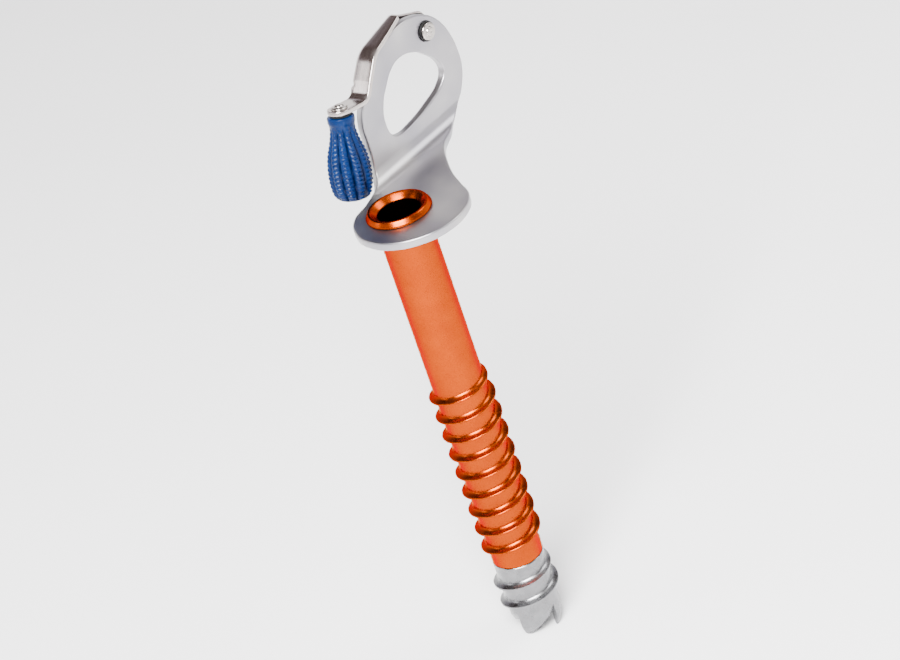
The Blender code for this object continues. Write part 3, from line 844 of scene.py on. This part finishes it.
def crank_knob_end(sheet, loop):
    """The fold runs out and the flange turns into the knob's end, which is round."""
    path = sheet.path
    axle_y = AXLE[1]
    axle_s = path.length_at_x(AXLE[0])
    flat_s = path.length_at_x(FLAT_X)
    for s in path.stations(sheet.crease, axle_s, 0.6)[1:]:
        angle = math.pi / 2 * (1.0 - smoothstep(sheet.crease, flat_s, s))
        along = smoothstep(flat_s, axle_s, s)
        fold_y = FOLD_Y + (axle_y - FOLD_Y) * along
        flat_length = NECK_BACK_Y + (axle_y + END_R - NECK_BACK_Y) * along - fold_y
        length = flat_length + (TAIL_LENGTH - flat_length) * math.sin(angle) ** 2
        reach = SHEET_FOLD_R * math.sin(angle) + length * math.cos(angle)
        fold_y = min(fold_y, WEB_BACK_Y - reach)
        flange = flange_section(front_y_at(path.at(s)[0].x), fold_y, angle)
        tail = tail_section(fold_y, angle, length)
        ring = sheet.ring([sheet.place(s, y, depth) for y, depth in flange + tail[::-1]])
        sheet.bridge(loop, ring, closed=True)
        loop = ring
    halves = ((-1.0, flange_section(axle_y - END_R, axle_y, 0.0)),
              (1.0, tail_section(axle_y, 0.0, END_R)[::-1]))
    steps = 18
    for step in range(1, steps + 1):
        a = math.pi / 2 * step / steps
        ring = sheet.ring([sheet.place(axle_s + side * (y - axle_y) * math.sin(a),
                                       axle_y + (y - axle_y) * math.cos(a), depth)
                           for side, section in halves for y, depth in section])
        sheet.bridge(loop, ring, closed=True)
        loop = ring


def make_crank(material):
    """One sheet piece: a web and a flange on a common fold, running out into the knob's end."""
    sheet = CrankSheet()
    flange = crank_flange(sheet)
    web_edge = crank_web_edge(sheet, flange[0])
    hole_back, hole_front = crank_pivot_hole(sheet)
    crank_knob_end(sheet, flange[-1] + web_edge[0][::-1])
    outline = flange + web_edge
    caps = [([ring[0] for ring in outline], hole_back), ([ring[-1] for ring in outline], hole_front)]
    mesh = finish_mesh("crank_sheet", sheet.verts, sheet.faces, 50.0, caps)
    piece("crank_sheet", mesh, "crank", material, ["crank_arm"])


# ---------------------------------------------------------------- knob

def knob_radius(z, radius, angle):
    """The grip's radius: ribs with narrow valleys between them, and teeth along their crests."""
    turn = angle + RIB_TWIST * (z - KNOB_WIDEST_Z) / KNOB_LENGTH
    rib = abs(math.cos(RIB_COUNT * turn / 2.0))
    ribs = smoothstep(-4.8, -8.5, z) * smoothstep(-31.25, -30.2, z)
    phase = (RIB_COUNT * turn / (2.0 * math.pi) + 0.5) % 1.0 - 0.5
    tooth = abs(math.sin(math.pi * (z / TOOTH_PITCH + 0.8 * phase)))
    crest = smoothstep(0.45, 0.9, rib)
    cut = RIB_DEPTH * (1.0 - rib ** 0.9) + TOOTH_DEPTH * (1.0 - tooth ** 0.8) * crest
    return radius - cut * ribs * radius / FULL_RIB_R


def make_knob(material, matrix):
    shoulder = [(4.2, -2.5), (4.55, -2.65), (4.65, -3.1), (4.62, -4.4), (4.35, -5.3)]
    flank = [(4.35, -5.3), (4.37, -7.0), (4.85, -9.5), (5.7, -12.5), (6.8, -16.0), (7.4, -20.0),
             (7.52, -24.0), (7.2, -27.5), (6.4, -30.0), (5.3, -31.0)]
    outside = curve_through(shoulder, 4)[:-1]
    sparse = curve_through(flank, 60)
    spacing = 0.17
    travelled = spacing
    for a, b in zip(sparse, sparse[1:]):
        travelled += (b - a).length
        if travelled >= spacing:
            outside.append(a)
            travelled = 0.0
    outside.append(sparse[-1])
    bore_r = 2.7
    pocket_r = 3.9
    inside = softened([(5.3, -31.0), (4.9, -31.2), (pocket_r, -31.2), (pocket_r, -28.0),
                       (bore_r, -28.0), (bore_r, -2.5), (4.2, -2.5)], 0.15, closed=False)[1:-1]
    columns_per_rib = 14
    columns = RIB_COUNT * columns_per_rib
    rings = []
    for column in range(columns):
        angle = 2.0 * math.pi * column / columns
        ring = [(knob_radius(z, r, angle), z) for r, z in outside] + [tuple(p) for p in inside]
        rings.append([(r * math.cos(angle), r * math.sin(angle), z) for r, z in ring])
    verts, faces = loft(rings, around=True)
    mesh = finish_mesh("ribbed_knob", verts, faces, 60.0)
    piece("ribbed_knob", mesh, "knob", material, ["knob_grip"], matrix)


# ---------------------------------------------------------------- rivets and washers

def facing_front(points):
    """(radius, Y) pairs, front to back, as (radius, height) on an axis that points to the front."""
    return [(radius, -y) for radius, y in points]


def make_small_pieces(steel, black, pivot_matrix, knob_matrix):
    rivet = [(0.0, 17.95), (0.28, 17.92), (0.5, 17.68), (0.62, 17.6), (1.1, 17.62), (1.45, 17.74),
             (1.66, 18.0), (1.72, 18.22), (2.6, 18.27), (2.9, 18.36), (3.1, 18.6), (3.1, 19.1),
             (2.0, 19.1), (2.0, 26.2), (3.6, 26.2), (3.6, 26.7), (2.9, 27.2), (1.2, 27.45),
             (0.0, 27.5)]
    axle = [(0.0, 1.42), (0.4, 1.42), (0.6, 1.5), (1.0, 1.5), (1.35, 1.36), (1.6, 1.08),
            (1.7, 0.86), (2.3, 0.82), (2.66, 0.7), (2.85, 0.46), (2.85, 0.08), (1.6, 0.08),
            (1.6, -29.6), (2.4, -29.6), (2.4, -30.2), (1.6, -30.6), (0.0, -30.7)]
    pieces = [
        ("fold_rivet", "screw", "stainless", steel, "pivot_rivet", pivot_matrix,
         facing_front(rivet)),
        ("fold_front_ring", "screw", "black_polymer", black, "pivot_front_washer", pivot_matrix,
         facing_front([(2.2, 19.15), (3.5, 19.15), (3.5, 19.95), (2.2, 19.95)])),
        ("fold_bush", "screw", "black_polymer", black, "pivot_bush", pivot_matrix,
         facing_front([(2.2, 20.0), (3.0, 20.0), (3.0, 26.0), (2.2, 26.0)])),
        ("fold_thrust_ring", "screw", "black_polymer", black, "pivot_thrust_washer", pivot_matrix,
         facing_front([(3.2, 23.2), (5.8, 23.2), (5.8, 23.6), (3.2, 23.6)])),
        ("fold_cone_ring", "screw", "stainless", steel, "pivot_spring_washer", pivot_matrix,
         facing_front([(3.3, 23.75), (5.6, 23.9), (5.6, 24.2), (3.3, 24.05)])),
        ("knob_axle_rivet", "crank", "stainless", steel, "knob_axle", knob_matrix, axle),
        ("knob_top_ring", "crank", "black_polymer", black, "knob_top_washer", knob_matrix,
         [(1.9, -1.7), (3.7, -1.7), (3.7, -2.3), (1.9, -2.3)]),
        ("knob_end_ring", "crank", "stainless", steel, "knob_end_washer", knob_matrix,
         [(1.9, -28.6), (3.6, -28.6), (3.6, -29.3), (1.9, -29.3)]),
        ("knob_sleeve", "knob", "stainless", steel, "knob_bush", knob_matrix,
         [(1.8, -2.6), (2.4, -2.6), (2.4, -28.3), (1.8, -28.3)]),
    ]
    for name, body, slot, material, node, matrix, profile in pieces:
        hollow = profile[0][0] > 0.0
        mesh = finish_mesh(name, *lathe(softened(profile, 0.09, hollow), 72), 50.0)
        piece(name, mesh, body, material, [node], matrix)


# ---------------------------------------------------------------- studio

def add_area_light(name, position, target, size, power):
    light = bpy.data.lights.new(name, "AREA")
    light.shape = "RECTANGLE"
    light.size, light.size_y = size
    light.energy = power
    obj = bpy.data.objects.new(name, light)
    bpy.context.scene.collection.objects.link(obj)
    obj.location = position
    obj.rotation_euler = (Vector(target) - Vector(position)).to_track_quat("-Z", "Y").to_euler()


def make_world():
    """A pale room: bright at the horizon, lilac grey above it, and dim and warm higher up."""
    world = bpy.data.worlds.new("studio")
    bpy.context.scene.world = world
    world.use_nodes = True
    tree = world.node_tree
    direction = tree.nodes.new("ShaderNodeTexCoord").outputs["Generated"]
    height = add_node(tree, "ShaderNodeSeparateXYZ", {0: direction}).outputs["Z"]
    share = ranged(tree, height, 0.0, 1.0, -1.0, 1.0)
    stops = [(0.0, (0.85, 0.85, 0.86)), (0.50, (1.0, 1.0, 1.0)), (0.61, (0.95, 0.93, 0.92)),
             (0.69, (0.42, 0.41, 0.46)), (0.76, (0.20, 0.185, 0.21)),
             (0.81, (0.06, 0.038, 0.036)), (0.86, (0.03, 0.014, 0.012)),
             (0.92, (0.12, 0.11, 0.11)), (1.0, (0.5, 0.5, 0.5))]
    tree.links.new(ramp(tree, share, stops), tree.nodes["Background"].inputs["Color"])
    tree.nodes["Background"].inputs["Strength"].default_value = 2.8


def make_floor(material, height):
    mesh = bpy.data.meshes.new("floor")
    half = 6.0
    corners = [(-half, -half, height), (half, -half, height), (half, half, height),
               (-half, half, height)]
    mesh.from_pydata(corners, [], [(0, 1, 2, 3)])
    mesh.materials.append(material)
    floor = bpy.data.objects.new("floor", mesh)
    bpy.context.scene.collection.objects.link(floor)


def make_camera():
    """A long lens at the object's own viewing angle, rolled so that the tube leans left at its top."""
    right = Vector((0.599, -0.749, -0.282)).normalized()
    up = Vector((0.557, 0.137, 0.819))
    back = right.cross(up).normalized()
    up = back.cross(right)
    points = [v.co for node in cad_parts.values() for v in node.data.vertices]
    across_image = [p.dot(right) for p in points]
    up_image = [p.dot(up) for p in points]
    deep = [p.dot(back) for p in points]
    centre = [(min(values) + max(values)) / 2.0 for values in (across_image, up_image, deep)]
    target = right * centre[0] + up * centre[1] + back * centre[2]
    camera = bpy.data.cameras.new("camera")
    camera.lens = 135.0
    camera.sensor_width = 36.0
    aspect = 660.0 / 900.0
    margin = 1.04
    height = (max(up_image) - min(up_image)) * margin
    distance = height / aspect * camera.lens / camera.sensor_width
    obj = bpy.data.objects.new("camera", camera)
    bpy.context.scene.collection.objects.link(obj)
    rotation = Matrix((right, up, back)).transposed().to_4x4()
    obj.matrix_world = Matrix.Translation(target + back * distance) @ rotation
    camera.clip_start = 0.01
    camera.clip_end = 30.0
    bpy.context.scene.camera = obj


# ---------------------------------------------------------------- everything

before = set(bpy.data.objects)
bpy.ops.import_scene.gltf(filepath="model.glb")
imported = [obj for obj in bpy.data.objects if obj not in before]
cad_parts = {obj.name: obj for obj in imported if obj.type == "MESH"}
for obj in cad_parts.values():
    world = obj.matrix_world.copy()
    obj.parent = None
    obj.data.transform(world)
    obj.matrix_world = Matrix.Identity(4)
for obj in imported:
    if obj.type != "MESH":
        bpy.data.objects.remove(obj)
cad_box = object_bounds()

satin = aluminium_material()
stainless = stainless_material()
orange = anodised_material()
blue = blue_material()
black = black_material()
small_steel = turned_steel_material("rivet_steel", (0.34, 0.31, 0.285), (0.46, 0.43, 0.40), 0.20)
ground_steel = turned_steel_material("ground_steel", (0.16, 0.16, 0.165), (0.21, 0.21, 0.215), 0.27)

pivot_axis = Matrix.Translation(Vector((PIVOT[0], 0.0, PIVOT[1])) * MM)
pivot_axis = pivot_axis @ Matrix.Rotation(math.pi / 2, 4, "X")
knob_axis = Matrix.Translation(Vector(AXLE) * MM) @ Matrix.Rotation(KNOB_TILT, 4, "Y")

make_hanger(satin)
make_screw_tube(orange)
make_drill_bit(ground_steel)
make_crank(stainless)
make_knob(blue, knob_axis)
make_small_pieces(small_steel, black, pivot_axis, knob_axis)

make_world()
make_floor(floor_material(), cad_box[0].z - 0.0002)
make_camera()
centre = (0.02, 0.01, -0.03)
add_area_light("key", (-0.70, -0.48, 0.95), centre, (0.7, 0.7), 100.0)
add_area_light("back", (-0.71, 0.78, 0.57), centre, (0.34, 0.40), 2.2)
add_area_light("fold_card", (0.66, -0.52, 0.78), centre, (0.5, 0.5), 9.0)
